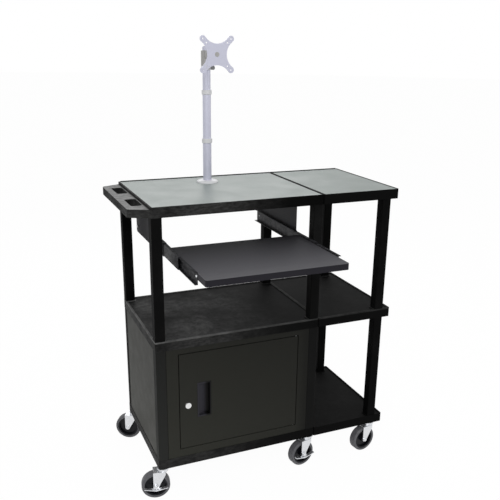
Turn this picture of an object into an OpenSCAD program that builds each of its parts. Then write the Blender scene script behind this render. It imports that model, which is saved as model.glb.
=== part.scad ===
// Mobile presentation station: moulded shelves on square legs and casters, with a side
// extension, a locking steel cabinet, a pull-out keyboard tray and a post for a monitor.

/* [Shelves and legs] */
// Width of the main shelves
main_w = 609.6; // [540:0.1:760]
// Width of the side shelves
side_w = 304.8; // [240:0.1:400]
// Depth of every shelf
shelf_d = 457.2; // [440:0.1:520]
// Height of a shelf moulding
shelf_t = 35; // [32:1:45]
// Clear height between the base and middle shelves
lower_leg_l = 418; // [340:1:500]
// Clear height between the middle and top shelves
upper_leg_l = 421; // [340:1:500]
// Floor to the underside of the base shelf
caster_h = 118; // [116:1:140]
// Side of a square leg
leg_w = 35; // [30:1:40]
// Wall of a leg
leg_wall = 3; // [2:0.5:4]
// Leg face to shelf edge on the main shelves
leg_inset = 1; // [0.5:0.5:3]
// Leg face to the outer edge of the side shelves
side_leg_inset = 30; // [5:1:50]

/* [Shelf moulding] */
// Outer skirt of a shelf
skirt_t = 3; // [2.5:0.5:4]
// Deck of a shelf
skin_t = 3.5; // [2.5:0.5:5]
// Stiffening rib
rib_t = 2.4; // [1.8:0.2:3]
// Largest distance between ribs
rib_pitch = 78; // [60:1:95]
// Rim beside and behind the deck
rim_w = 6; // [4:0.5:9]
// Rim along the front of a worktop
front_rim_w = 2.5; // [2:0.5:5]
// Deck below the rim
deck_drop = 3; // [2.6:0.1:5]
// Laminate sheet of a worktop
laminate_t = 2.2; // [1:0.1:2.5]
// Corner radius of a shelf
corner_r = 6; // [3:1:10]

/* [Push handle] */
// How far the handle stands out
handle_reach = 64.5; // [60:0.5:90]
// Height of the handle
handle_h = 27; // [20:1:30]
// Shelf corner to the handle's foot
handle_foot_in = 7; // [5:1:20]
// Shelf corner to the handle's outer corner
handle_end_in = 36; // [25:1:60]
// Corner radius of the handle
handle_r = 12; // [6:1:20]
// Width of a hand hole
hole_w = 37; // [30:1:40]
// Shelf corner to the nearer hand hole
hole_end_in = 75; // [60:1:90]
// Web between the hand holes
hole_web = 97; // [60:1:110]

/* [Cabinet] */
// Sheet of the cabinet and door
sheet_t = 1.2; // [0.8:0.1:1.5]
// Depth of the folded edges
fold_d = 20; // [18:1:26]
// Width of the frame beside the door
stile_w = 41.5; // [30:0.5:60]
// Frame above the door
head_rail_h = 20; // [14:1:40]
// Frame below the door
sill_rail_h = 30; // [18:1:50]
// Gap round the door
door_gap = 3; // [2.8:0.1:4]
// Door edge to the hinge axis
hinge_in = 6; // [5.6:0.1:6]
// Hinge pin diameter
hinge_pin_d = 5; // [4:0.5:5]
// Width of the recessed pull
pull_w = 50; // [40:1:60]
// Height of the recessed pull
pull_h = 132; // [100:1:150]
// Door edge to the pull
pull_in = 64; // [50:1:90]
// Depth of the recessed pull
pull_depth = 14; // [10:1:15]
// Lock centre from the door edge
lock_in = 30; // [25:1:36]
// Lock bezel diameter
lock_d = 24; // [20:1:30]

/* [Keyboard tray] */
// Width of the tray board
tray_w = 465; // [400:1:480]
// Depth of the tray board
tray_d = 356; // [300:1:370]
// Thickness of the tray board
tray_t = 20; // [15:1:25]
// Corner radius of the tray board
tray_r = 8; // [4:1:20]
// Worktop rim to the tray's top face
tray_drop = 148; // [120:1:170]
// Tray front ahead of the shelf front, pulled out
tray_out = 310; // [290:1:320]
// Shelf front to the slides
slide_in = 80; // [60:1:90]
// Height of a slide
slide_h = 45; // [35:1:50]
// Width of a slide
slide_w = 12.7; // [12:0.1:16]
// Length of each slide member
slide_l = 356; // [320:1:360]
// Travel of the tray
tray_travel = 320; // [200:1:320]
// Sheet of a tray hanger
hanger_t = 2; // [1.5:0.5:3]
// Width of a hanger's top flange
hanger_flange = 25; // [20:1:30]

/* [Monitor post] */
// Post axis from the left shelf edge
post_x = 308; // [200:1:400]
// Post axis from the front shelf edge
post_y = 347; // [280:1:390]
// Height of the post above the worktop rim
post_h = 476; // [476:1:540]
// Diameter of the post's foot flange
flange_d = 79; // [60:1:100]
// Diameter of the lowest post section
post_d = 31; // [30:0.5:36]
// Smaller diameter of each section above
post_step = 1.5; // [0.5:0.5:2]
// Height of a ring
ring_h = 16; // [12:1:24]
// Worktop rim to the lower ring
ring_low = 151; // [120:1:200]
// Worktop rim to the upper ring
ring_high = 321; // [260:1:322]
// Top of the post to the middle of the arm
arm_drop = 26; // [24:1:26]
// Post axis to the face of the mounting plate
plate_reach = 110; // [100:1:140]
// Outer hole spacing of the mounting plate
plate_pitch = 100; // [100:1:110]
// Inner hole spacing of the mounting plate
plate_inner = 75; // [70:1:80]
// Thickness of the mounting plate
plate_t = 3; // [2:0.5:4]

/* [Casters] */
// Wheel diameter
wheel_d = 101.6; // [90:0.1:103]
// Wheel width
wheel_w = 30; // [24:1:32]
// Swivel axis to wheel axle
trail = 28; // [20:1:34]
// Sheet of a fork
fork_t = 2.5; // [2:0.5:3]
// Gap between a wheel and its fork
fork_gap = 3; // [2:0.5:4]
// Diameter of an axle
axle_d = 8; // [6:1:10]
// Length of a brake bar
brake_l = 84; // [60:1:90]

/* [Hidden] */
$fn = 64;
nut_sides = 6;
arc_steps = 10;

// Overrun of every cut
cut = 1;
// Radial gap of a pin that turns or slides in its bore
run_gap = 0.08;
// Gap between seated pieces
seat_gap = 0.3;
// Radial gap of a pin pressed or screwed into its bore
press_gap = 0.02;

// Colours
black_plastic = [0.07, 0.07, 0.07];
gray_laminate = [0.65, 0.69, 0.67];
dark_steel = [0.12, 0.12, 0.11];
charcoal = [0.3, 0.3, 0.31];
silver = [0.74, 0.74, 0.78];
white_plastic = [0.86, 0.86, 0.88];
zinc = [0.7, 0.71, 0.72];
gray_tyre = [0.5, 0.5, 0.5];
navy_hub = [0.12, 0.13, 0.17];

// Levels of the shelves
base_z = caster_h;
cabinet_z = base_z + shelf_t;
middle_z = cabinet_z + lower_leg_l;
top_z = middle_z + shelf_t + upper_leg_l;
rim_z = top_z + shelf_t;
total_w = main_w + side_w;

// Leg centres, each front one before the rear one behind it
left_leg_x = leg_inset + leg_w / 2;
center_leg_x = main_w - leg_inset - leg_w / 2;
right_leg_x = total_w - side_leg_inset - leg_w / 2;
front_leg_y = leg_inset + leg_w / 2;
rear_leg_y = shelf_d - leg_inset - leg_w / 2;
leg_ys = [front_leg_y, rear_leg_y];
main_posts = [for (x = [left_leg_x, center_leg_x], y = leg_ys) [x, y]];
side_posts = [for (y = leg_ys) [right_leg_x, y]];
posts = concat(main_posts, side_posts);
side_x = main_w + seat_gap;

// Shelf moulding
under_h = shelf_t - deck_drop - skin_t;
pad_w = leg_w + 2 * skirt_t;
pad_r = 2;
leg_r = 3;
peg_h = 24;
peg_w = leg_w - 2 * leg_wall - 2 * seat_gap;
hole_r = 9;
grip_wall = 4;
hole_out = handle_reach * 0.65;
hole_l = (shelf_d - hole_web) / 2 - hole_end_in;
handle_rise = atan((handle_end_in - handle_foot_in) / handle_reach);
handle_turn = handle_r * tan((90 - handle_rise) / 2);

// Bolts that join the side shelves to the main ones
join_shares = [0.25, 0.75];
join_r = 3;
join_head_r = 5.5;
join_head_h = 4;
join_z = under_h / 2;

// Screws of the tray hangers and slides
screw_r = 2;
screw_l = 14;
screw_head_r = 4.5;
screw_head_h = 2.5;
boss_r = 7;
hanger_screw_shares = [0.14, 0.5, 0.86];
slide_screw_shares = [0.06, 0.94];

// Cabinet frame, flush with the legs on the outside
frame_x = leg_inset + leg_w + seat_gap;
frame_w = main_w - 2 * frame_x;
frame_y = leg_inset + sheet_t / 2;
cabinet_h = lower_leg_l - seat_gap;
panel_y = leg_inset + leg_w + seat_gap;
panel_l = shelf_d - 2 * panel_y;
opening_w = frame_w - 2 * stile_w;
opening_h = cabinet_h - head_rail_h - sill_rail_h;

// Door, closed, hung on pins at its right edge
door_fold = fold_d - 2;
door_w = opening_w - 2 * door_gap;
door_h = opening_h - 2 * door_gap;
door_x = frame_x + stile_w + door_gap;
door_z = cabinet_z + sill_rail_h + door_gap;
hinge_x = door_x + door_w - hinge_in;
hinge_y = frame_y + hinge_in;
pin_r = hinge_pin_d / 2;
pin_head_r = pin_r + 1.5;
pin_head_h = 1.5;
pin_l = door_gap + 2 * sheet_t;
opening_zs = [door_z - door_gap, door_z + door_h + door_gap];

// Recessed pull, shallow at the left and deep at the right
pull_x = door_x + pull_in;
pull_z = cabinet_z + cabinet_h * 0.51;
pull_lip_w = 3;
pull_lip_t = 1.2;
pull_wall = 1.8;
pull_shallow_share = 0.35;
pull_bend_share = 0.6;

// Cam lock
lock_x = door_x + lock_in;
lock_z = cabinet_z + cabinet_h * 0.475;
lock_lip_h = 3;
lock_barrel_r = lock_d * 0.36;
lock_plug_r = lock_d * 0.25;
lock_nut_h = 4;
lock_rear = door_fold - sheet_t;
cam_l = lock_in + door_gap + 10;
cam_w = 14;
cam_t = 2;
cam_screw_h = 3;
cam_gap = 1;
key_l = 7;
key_w = 1.6;
key_d = 2;

// Keyboard tray, pulled out
tray_top_z = rim_z - tray_drop;
tray_x = (main_w - tray_w) / 2;
slide_top_z = tray_top_z + slide_h * 0.15;
slide_bottom_z = slide_top_z - slide_h;
slide_sheet = 1.2;
slide_gap = 0.4;
hanger_x = tray_x - slide_w - hanger_t;
hanger_y = slide_in + screw_head_r * 2;
hanger_l = slide_l - screw_head_r * 2;
hanger_r = 10;
hanger_h = top_z - slide_bottom_z + slide_gap;
middle_nest = slide_sheet + slide_gap;
inner_nest = 2 * middle_nest;
inner_h = slide_h - 2 * inner_nest;

// Post and its rings
laminate_z = rim_z - deck_drop + seat_gap / 3;
laminate_top_z = laminate_z + laminate_t;
post_rs = [post_d / 2, (post_d - post_step) / 2, (post_d - 2 * post_step) / 2];
post_bore_r = post_rs[2] - 2.5;
flange_floor = 4;
flange_rim_h = 3;
flange_h = 10;
flange_neck = 3;
ring_wall = 3;
ring_chamfer = 1.5;
post_cap_h = 3;
post_cap_chamfer = 1.5;
bolt_r = 5;
bolt_head_r = 8;
bolt_head_h = 6;
bolt_boss_r = 20;

// Head on the post
arm_z = rim_z + post_h - arm_drop;
arm_h = 24;
arm_w = 26;
sleeve_wall = 5;
sleeve_r = post_rs[2] + sleeve_wall;
sleeve_h = 50;
sleeve_top_z = arm_z + arm_h / 2;
sleeve_z = sleeve_top_z - sleeve_h;
sleeve_chamfer = 1.5;
grip_ring_h = 14;
grip_ring_z = sleeve_z - seat_gap - grip_ring_h;
clamp_boss_r = 6.5;
clamp_boss_l = 5;
clamp_r = 3;
clamp_knob_r = 7;
clamp_knob_l = 9;
clamp_grip_r = 1.5;
clamp_grips = 8;
clamp_turn = -60;
plate_y = post_y - plate_reach;
hub_r = 20;
hub_h = 6;
stub_r = 8;
disc_r = 22;
disc_h = 6;
disc_y = plate_y + plate_t + hub_h + seat_gap;
ear_r = arm_h / 2;
ear_gap = 2;
tilt_y = disc_y + disc_h + ear_gap + ear_r;
tongue_w = arm_w / 2;
tilt_r = 4;
tilt_head_r = 6.5;
tilt_head_h = 3;
lobe_r = 10.5;
plate_waist = 34.5;
plate_hole_r = 2.5;
lobe_in = plate_pitch / 2;
bay_r = (pow(lobe_in, 2) + pow(plate_waist - lobe_in, 2) - pow(lobe_r, 2))
    / (2 * (lobe_r - plate_waist + lobe_in));
bay_in = bay_r + plate_waist;
bay_turn = atan(lobe_in / (bay_in - lobe_in));
plate_blend = 2;

// Casters, each trailing wheel's heading counted from +X towards +Y
headings = [168, 150, 190, 200, 188, 165];
wheel_r = wheel_d / 2;
stem_r = 5.5;
stem_l = 28;
race_r = 22;
king_r = 5;
king_head_r = 8;
king_head_h = 2.5;
crown_gap = 2.9;
crown_z = wheel_d + crown_gap;
crown_ring_r = 18;
crown_ring_h = 4.6;
race_z = crown_z + fork_t + crown_ring_h + seat_gap;
crown_l = 44;
cheek_front_h = 9;
eye_r = 9;
cheek_y = wheel_w / 2 + fork_gap;
axle_r = axle_d / 2;
axle_head_r = 6.5;
axle_head_h = 4;
rim_share = 0.8;
tread_r = wheel_r * (1 - rim_share) / 2 - press_gap;
bead_share = 0.7;
boss_share = 0.27;
web_t = 9;
boss_side = cheek_y - seat_gap;
brake_t = 3;
brake_d = 12;
brake_gap = 0.4;
brake_eye_r = 10;
brake_rise = 1;
brake_drop = 8;
brake_y = cheek_y + fork_t + brake_gap;

// The origin lies on the floor below the middle of the whole outline
function tyre_reach(a) =
    trail * sin(a) + (wheel_r - tread_r) * abs(sin(a)) + (wheel_w / 2 - tread_r) * abs(cos(a)) + tread_r;
rear_reach = max([for (i = [1, 3, 5]) rear_leg_y + tyre_reach(headings[i])]);
middle_x = (total_w - handle_reach) / 2;
middle_y = (max(shelf_d, rear_reach) - tray_out) / 2;

// Placement and common outlines

module cart() {
    translate([-middle_x, -middle_y, 0]) children();
}

// Points along a round corner, from one heading to the other
function arc(x, y, r, from, to) = [
    for (k = [0 : arc_steps]) let (a = from + (to - from) * k / arc_steps) [x + r * cos(a), y + r * sin(a)]
];

module rounded_rect(w, d, r) {
    translate([r, 0]) square([w - 2 * r, d]);
    translate([0, r]) square([w, d - 2 * r]);
    for (x = [r, w - r], y = [r, d - r]) translate([x, y]) circle(r);
}

module centered_rect(w, r) {
    translate([-w / 2, -w / 2]) rounded_rect(w, w, r);
}

// A sheet pan of outside size w, d and h, open at the back
module pan(w, d, h) {
    difference() {
        cube([w, d, h]);
        translate([sheet_t, sheet_t, sheet_t]) cube([w - 2 * sheet_t, d, h - 2 * sheet_t]);
    }
}

// Shelf mouldings

// Hollows under a deck: all but the ribs and the pads over the legs
module under_cells(w, pads) {
    columns = ceil(w / rib_pitch);
    rows = ceil(shelf_d / rib_pitch);
    difference() {
        translate([skirt_t, skirt_t]) square([w - 2 * skirt_t, shelf_d - 2 * skirt_t]);
        for (i = [1 : columns - 1]) translate([i * w / columns - rib_t / 2, 0]) square([rib_t, shelf_d]);
        for (j = [1 : rows - 1]) translate([0, j * shelf_d / rows - rib_t / 2]) square([w, rib_t]);
        for (p = pads) translate(p) centered_rect(pad_w, pad_r);
    }
}

// Recess of a deck; the pads of the legs above stay at the height of the rim
module deck_recess(w, front_rim, pads) {
    difference() {
        translate([rim_w, front_rim]) rounded_rect(w - 2 * rim_w, shelf_d - rim_w - front_rim, pad_r);
        for (p = pads) translate(p) centered_rect(pad_w, pad_r);
    }
}

module shelf(w, front_rim, pads_below, pads_above) {
    difference() {
        linear_extrude(shelf_t) rounded_rect(w, shelf_d, corner_r);
        translate([0, 0, shelf_t - deck_drop])
            linear_extrude(deck_drop + cut) deck_recess(w, front_rim, pads_above);
        translate([0, 0, -cut])
            linear_extrude(under_h + cut) under_cells(w, concat(pads_below, pads_above));
    }
}

// Pegs that the hollow legs slip over
module pegs(list, z) {
    for (p = list) translate([p[0], p[1], z]) linear_extrude(peg_h) centered_rect(peg_w, pad_r);
}

module join_holes(x) {
    for (s = join_shares)
        translate([x - skirt_t - cut, s * shelf_d, join_z])
            rotate([0, 90, 0]) cylinder(r = join_r + press_gap, h = 2 * skirt_t + seat_gap + 2 * cut);
}

function side_pads() = [for (p = side_posts) [p[0] - side_x, p[1]]];
function hanger_screw_x(side) =
    side < 0 ? hanger_x + hanger_flange / 2 + hanger_t : main_w - hanger_x - hanger_flange / 2 - hanger_t;
hanger_screws = [for (s = [-1, 1], k = hanger_screw_shares) [hanger_screw_x(s), hanger_y + k * hanger_l]];

// Outline of the push handle, with round outer corners that run into its sides
module handle_outline() {
    near_x = handle_r - handle_reach;
    near_y = handle_end_in + handle_turn;
    polygon(concat(
        [[skirt_t / 2, handle_foot_in]],
        arc(near_x, near_y, handle_r, 270 - handle_rise, 180),
        arc(near_x, shelf_d - near_y, handle_r, 180, 90 + handle_rise),
        [[skirt_t / 2, shelf_d - handle_foot_in]]
    ));
}

module push_handle() {
    difference() {
        linear_extrude(handle_h) handle_outline();
        for (s = [-1, 1])
            translate([-hole_out, shelf_d / 2 + s * (hole_web + hole_l) / 2 - hole_l / 2, -cut])
                linear_extrude(handle_h + 2 * cut) rounded_rect(hole_w, hole_l, hole_r);
        translate([grip_wall - handle_reach, handle_end_in + handle_r, -cut])
            cube([
                handle_reach - hole_out - 2 * grip_wall,
                shelf_d - 2 * handle_end_in - 2 * handle_r,
                handle_h - grip_wall + cut
            ]);
    }
}

module main_top_shelf() {
    bolt_boss = [[post_x, post_y, bolt_boss_r]];
    bosses = concat([for (p = hanger_screws) [p[0], p[1], boss_r]], bolt_boss);
    color(black_plastic) cart() translate([0, 0, top_z]) difference() {
        union() {
            shelf(main_w, front_rim_w, main_posts, []);
            for (b = bosses) translate([b[0], b[1], 0]) cylinder(r = b[2], h = under_h + skin_t / 2);
            pegs(main_posts, -peg_h);
            push_handle();
        }
        for (p = hanger_screws)
            translate([p[0], p[1], -cut]) cylinder(r = screw_r + press_gap, h = screw_l + cut);
        translate([post_x, post_y, -cut]) cylinder(r = bolt_r + press_gap, h = shelf_t + cut);
        join_holes(main_w);
    }
}

module main_middle_shelf() {
    color(black_plastic) cart() translate([0, 0, middle_z]) difference() {
        union() {
            shelf(main_w, rim_w, [], main_posts);
            pegs(main_posts, -peg_h);
            pegs(main_posts, shelf_t);
        }
        join_holes(main_w);
    }
}

module stem_holes(list) {
    for (p = list) translate([p[0], p[1], -cut]) cylinder(r = stem_r + press_gap, h = stem_l + cut);
}

module main_base_shelf() {
    color(black_plastic) cart() translate([0, 0, base_z]) difference() {
        union() {
            shelf(main_w, rim_w, [], main_posts);
            pegs(main_posts, shelf_t);
        }
        stem_holes(main_posts);
        join_holes(main_w);
    }
}

module side_top_shelf() {
    color(black_plastic) cart() translate([side_x, 0, top_z]) difference() {
        union() {
            shelf(side_w - seat_gap, front_rim_w, side_pads(), []);
            pegs(side_pads(), -peg_h);
        }
        join_holes(0);
    }
}

module side_middle_shelf() {
    color(black_plastic) cart() translate([side_x, 0, middle_z]) difference() {
        union() {
            shelf(side_w - seat_gap, rim_w, [], side_pads());
            pegs(side_pads(), -peg_h);
            pegs(side_pads(), shelf_t);
        }
        join_holes(0);
    }
}

module side_base_shelf() {
    color(black_plastic) cart() translate([side_x, 0, base_z]) difference() {
        union() {
            shelf(side_w - seat_gap, rim_w, [], side_pads());
            pegs(side_pads(), shelf_t);
        }
        stem_holes(side_pads());
        join_holes(0);
    }
}

// Laminate sheets bonded into the worktops

module laminate(w) {
    translate([rim_w + seat_gap, front_rim_w + seat_gap, laminate_z])
        linear_extrude(laminate_t)
            rounded_rect(w - 2 * rim_w - 2 * seat_gap, shelf_d - rim_w - front_rim_w - 2 * seat_gap, pad_r);
}

module main_laminate() {
    color(gray_laminate) cart() difference() {
        laminate(main_w);
        translate([post_x, post_y, laminate_z - cut])
            cylinder(r = bolt_r + seat_gap, h = laminate_t + 2 * cut);
    }
}

module side_laminate() {
    color(gray_laminate) cart() translate([side_x, 0, 0]) laminate(side_w - seat_gap);
}

// Hollow legs, a lower and an upper length at each corner

module leg(l) {
    linear_extrude(l) difference() {
        centered_rect(leg_w, leg_r);
        centered_rect(leg_w - 2 * leg_wall, pad_r);
    }
}

module legs(i) {
    color(black_plastic) cart() translate(posts[i]) {
        translate([0, 0, cabinet_z]) leg(lower_leg_l);
        translate([0, 0, middle_z + shelf_t]) leg(upper_leg_l);
    }
}

module front_left_legs() {
    legs(0);
}

module rear_left_legs() {
    legs(1);
}

module front_center_legs() {
    legs(2);
}

module rear_center_legs() {
    legs(3);
}

module front_right_legs() {
    legs(4);
}

module rear_right_legs() {
    legs(5);
}

// Cabinet: folded pans between the legs and a framed front

module side_panel() {
    translate([frame_y, panel_y + panel_l, 0]) rotate([0, 0, -90]) pan(panel_l, fold_d, cabinet_h);
}

module cabinet_side_panels() {
    color(dark_steel) cart() translate([0, 0, cabinet_z]) {
        side_panel();
        translate([main_w, 0, 0]) mirror([1, 0, 0]) side_panel();
    }
}

module cabinet_back_panel() {
    color(dark_steel) cart()
        translate([frame_x, shelf_d - frame_y, cabinet_z]) mirror([0, 1, 0])
            pan(frame_w, fold_d, cabinet_h);
}

module frame_ring(grow, d) {
    translate([stile_w - grow, 0, sill_rail_h - grow])
        cube([opening_w + 2 * grow, d, opening_h + 2 * grow]);
}

module cabinet_front_frame() {
    color(dark_steel) cart() translate([frame_x, frame_y, cabinet_z]) difference() {
        union() {
            pan(frame_w, fold_d, cabinet_h);
            frame_ring(sheet_t, door_fold);
        }
        translate([0, -cut, 0]) frame_ring(0, fold_d + cut);
        for (z = opening_zs)
            translate([hinge_x - frame_x, hinge_in, z - cabinet_z - sheet_t - cut])
                cylinder(r = pin_r + press_gap, h = 2 * sheet_t + 2 * cut);
    }
}

// Door, its hinge pins, pull and lock

module cabinet_door() {
    color(dark_steel) cart() difference() {
        translate([door_x, frame_y, door_z]) pan(door_w, door_fold, door_h);
        translate([hinge_x, hinge_y, door_z - cut]) cylinder(r = pin_r + run_gap, h = door_h + 2 * cut);
        translate([lock_x, frame_y - cut, lock_z])
            rotate([-90, 0, 0]) cylinder(r = lock_barrel_r + press_gap, h = sheet_t + 2 * cut);
        translate([
            pull_x + pull_lip_w - seat_gap,
            frame_y - cut,
            pull_z - pull_h / 2 + pull_lip_w - seat_gap
        ])
            cube([
                pull_w - 2 * pull_lip_w + 2 * seat_gap,
                sheet_t + 2 * cut,
                pull_h - 2 * pull_lip_w + 2 * seat_gap
            ]);
    }
}

// Each pin is pressed into the frame and has its head inside the door's folded edge
module door_hinge_pins() {
    color(zinc) cart() for (k = [0, 1]) translate([hinge_x, hinge_y, opening_zs[k]]) mirror([0, 0, k]) {
        translate([0, 0, -sheet_t]) cylinder(r = pin_r, h = pin_l);
        translate([0, 0, door_gap + sheet_t + run_gap]) cylinder(r = pin_head_r, h = pin_head_h);
    }
}

// Outline of the pull's hollow, seen from above, grown on every side but the front
module pull_outline(grow) {
    w = pull_w - 2 * pull_lip_w - 2 * pull_wall;
    d = pull_depth - pull_wall;
    polygon([
        [-grow, 0], [w + grow, 0], [w + grow, d + grow],
        [pull_bend_share * w, d + grow], [-grow, pull_shallow_share * d + grow]
    ]);
}

module door_pull() {
    inner_h = pull_h - 2 * pull_lip_w - 2 * pull_wall;
    color(black_plastic) cart() translate([pull_x, frame_y, pull_z]) difference() {
        union() {
            translate([0, -pull_lip_t, -pull_h / 2]) cube([pull_w, pull_lip_t, pull_h]);
            translate([pull_lip_w + pull_wall, 0, -inner_h / 2 - pull_wall])
                linear_extrude(inner_h + 2 * pull_wall) pull_outline(pull_wall);
        }
        translate([pull_lip_w + pull_wall, 0, -inner_h / 2]) linear_extrude(inner_h) pull_outline(0);
        translate([pull_lip_w + pull_wall, -pull_lip_t - cut, -inner_h / 2])
            cube([pull_w - 2 * pull_lip_w - 2 * pull_wall, pull_lip_t + 2 * cut, inner_h]);
    }
}

module lock_body() {
    color(zinc) cart() translate([lock_x, frame_y, lock_z]) rotate([-90, 0, 0]) difference() {
        union() {
            translate([0, 0, -lock_lip_h])
                cylinder(r1 = lock_d / 2 - lock_lip_h / 2, r2 = lock_d / 2, h = lock_lip_h);
            cylinder(r = lock_barrel_r, h = lock_rear);
            translate([0, 0, sheet_t]) cylinder(r = lock_d / 2, h = lock_nut_h, $fn = nut_sides);
        }
        translate([0, 0, -lock_lip_h - cut])
            cylinder(r = lock_plug_r + run_gap, h = lock_rear + lock_lip_h + 2 * cut);
    }
}

// Plug with its key slot, and the cam behind, which hangs down while the lock is open
module lock_plug() {
    cam_y = door_fold + cam_gap;
    color(zinc) cart() translate([lock_x, frame_y, lock_z]) rotate([-90, 0, 0]) {
        difference() {
            union() {
                translate([0, 0, -lock_lip_h]) cylinder(r = lock_plug_r, h = lock_lip_h + cam_y);
                translate([0, 0, cam_y]) linear_extrude(cam_t) {
                    circle(cam_w / 2);
                    translate([-cam_w / 2, 0]) square([cam_w, cam_l - cam_w / 2]);
                    translate([0, cam_l - cam_w / 2]) circle(cam_w / 2);
                }
                translate([0, 0, cam_y])
                    cylinder(r = lock_plug_r * 0.8, h = cam_t + cam_screw_h, $fn = nut_sides);
            }
            translate([-key_w / 2, -key_l / 2, -lock_lip_h - cut]) cube([key_w, key_l, key_d + cut]);
        }
    }
}

// Keyboard tray, its hangers and its three-part slides

// Section of a slide member: web at x = 0, both flanges reaching to x = w
module channel(w, h, l) {
    difference() {
        cube([w, l, h]);
        translate([slide_sheet, -cut, slide_sheet]) cube([w, l + 2 * cut, h - 2 * slide_sheet]);
    }
}

module both_sides() {
    children();
    translate([main_w, 0, 0]) mirror([1, 0, 0]) children();
}

// Plate of a hanger with round lower corners, and its flange under the worktop
module hanger() {
    translate([hanger_x, hanger_y, slide_bottom_z - slide_gap]) difference() {
        union() {
            translate([hanger_t, 0, 0]) rotate([0, -90, 0]) linear_extrude(hanger_t) {
                rounded_rect(hanger_h - hanger_r, hanger_l, hanger_r);
                translate([hanger_r, 0]) square([hanger_h - hanger_r, hanger_l]);
            }
            translate([0, 0, hanger_h - hanger_t]) cube([hanger_flange + hanger_t, hanger_l, hanger_t]);
        }
        for (k = hanger_screw_shares)
            translate([hanger_flange / 2 + hanger_t, k * hanger_l, hanger_h - hanger_t - cut])
                cylinder(r = screw_r + press_gap, h = hanger_t + 2 * cut);
        for (k = slide_screw_shares)
            translate([-cut, k * hanger_l, slide_h / 2 + slide_gap])
                rotate([0, 90, 0]) cylinder(r = screw_r + press_gap, h = hanger_t + 2 * cut);
    }
}

module left_tray_hanger() {
    color(dark_steel) cart() hanger();
}

module right_tray_hanger() {
    color(dark_steel) cart() translate([main_w, 0, 0]) mirror([1, 0, 0]) hanger();
}

module slide_outers() {
    color(zinc) cart() both_sides() difference() {
        translate([hanger_x + hanger_t, slide_in, slide_bottom_z])
            channel(slide_w - slide_gap, slide_h, slide_l);
        for (k = slide_screw_shares)
            translate([hanger_x, hanger_y + k * hanger_l, slide_bottom_z + slide_h / 2])
                rotate([0, 90, 0]) cylinder(r = screw_r + press_gap, h = hanger_t + slide_sheet + cut);
    }
}

module slide_middles() {
    color(zinc) cart() both_sides()
        translate([
            hanger_x + hanger_t + middle_nest,
            slide_in - tray_travel / 2,
            slide_bottom_z + middle_nest
        ])
            channel(slide_w - middle_nest - slide_gap, slide_h - 2 * middle_nest, slide_l);
}

// Places of the screws through the inner members into the edges of the board
module at_tray_screws() {
    for (y = [slide_in - tray_travel + 2 * screw_head_r, tray_d - tray_out - 2 * screw_head_r])
        translate([tray_x - slide_sheet, y, tray_top_z - tray_t / 2]) rotate([0, 90, 0]) children();
}

module slide_inners() {
    color(zinc) cart() both_sides() difference() {
        translate([tray_x, slide_in - tray_travel, slide_bottom_z + inner_nest])
            mirror([1, 0, 0]) channel(slide_w - inner_nest, inner_h, slide_l);
        translate([-cut, 0, 0]) at_tray_screws()
            cylinder(r = screw_r + press_gap, h = slide_sheet + 2 * cut);
    }
}

module tray_board() {
    color(charcoal) cart() difference() {
        translate([tray_x, -tray_out, tray_top_z - tray_t])
            linear_extrude(tray_t) rounded_rect(tray_w, tray_d, tray_r);
        both_sides() at_tray_screws() cylinder(r = screw_r + press_gap, h = screw_l);
    }
}

module screw() {
    translate([0, 0, -screw_head_h]) cylinder(r1 = screw_head_r * 0.7, r2 = screw_head_r, h = screw_head_h);
    cylinder(r = screw_r, h = screw_l);
}

module tray_screws() {
    color(zinc) cart() both_sides() at_tray_screws() screw();
}

// Monitor post

module post_flange() {
    neck_r = post_rs[0] + flange_neck;
    color(white_plastic) cart() translate([post_x, post_y, laminate_top_z]) difference() {
        rotate_extrude() intersection() {
            square([flange_d / 2, flange_h]);
            union() {
                square([flange_d / 2, flange_rim_h]);
                translate([0, flange_rim_h]) scale([1, (flange_h - flange_rim_h) / (flange_d / 2 - neck_r)])
                    translate([neck_r, 0]) circle(flange_d / 2 - neck_r);
                square([neck_r, flange_h]);
            }
        }
        translate([0, 0, flange_floor]) cylinder(r = post_rs[0] + press_gap, h = flange_h);
        translate([0, 0, -cut]) cylinder(r = bolt_r + press_gap, h = flange_floor + 2 * cut);
    }
}

// One stepped tube, closed by a cap at its top
module post_tube() {
    foot_z = laminate_top_z + flange_floor;
    top = rim_z + post_h;
    color(silver) cart() translate([post_x, post_y, 0]) {
        rotate_extrude() {
            polygon([
                [post_bore_r, foot_z], [post_rs[0], foot_z],
                [post_rs[0], rim_z + ring_low], [post_rs[1], rim_z + ring_low],
                [post_rs[1], rim_z + ring_high], [post_rs[2], rim_z + ring_high],
                [post_rs[2], top - post_cap_chamfer], [post_rs[2] - post_cap_chamfer, top],
                [0, top], [0, top - post_cap_h], [post_bore_r, top - post_cap_h]
            ]);
        }
    }
}

// Ring over a step of the post
module ring(low_r, high_r, z) {
    out = low_r + ring_wall;
    h = ring_h / 2;
    translate([post_x, post_y, rim_z + z]) rotate_extrude() polygon([
        [low_r + press_gap, -h], [out - ring_chamfer, -h], [out, ring_chamfer - h],
        [out, h - ring_chamfer], [out - ring_chamfer, h], [high_r + press_gap, h],
        [high_r + press_gap, 0], [low_r + press_gap, 0]
    ]);
}

module post_rings() {
    color(white_plastic) cart() {
        ring(post_rs[0], post_rs[1], ring_low);
        ring(post_rs[1], post_rs[2], ring_high);
    }
}

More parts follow.
